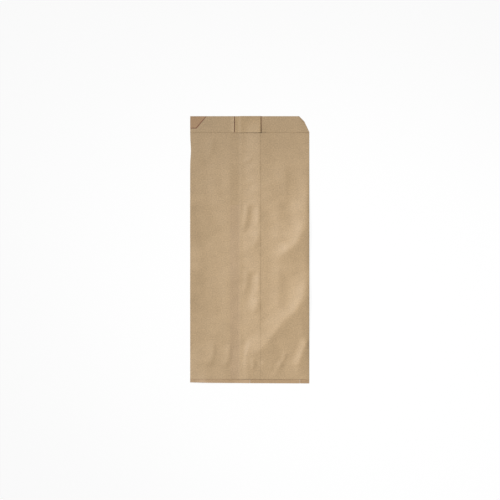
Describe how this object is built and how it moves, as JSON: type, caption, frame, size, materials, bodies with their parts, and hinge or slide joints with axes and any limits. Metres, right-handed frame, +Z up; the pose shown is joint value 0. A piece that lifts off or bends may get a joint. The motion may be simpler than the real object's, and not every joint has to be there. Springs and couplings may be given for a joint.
{
  "type": "greaseproof paper bag",
  "caption": "Flat kraft greaseproof paper bag, empty, with a pasted seam along its face, a folded and pasted closed end, and an open mouth with a short lip.",
  "frame": {"origin": "under the middle of the bag, on the surface that it lies on", "axes": "+Z up from the back panel to the seam side, +Y along the bag from the open mouth to the closed end, +X to the right as seen from above"},
  "size_m": [0.12, 0.269, 0.0028],
  "materials": {
    "kraft_paper": "smooth machine-finished kraft paper, slightly waxy"
  },
  "bodies": {
    "root": {"paper_bag": "kraft_paper"}
  },
  "joints": []
}
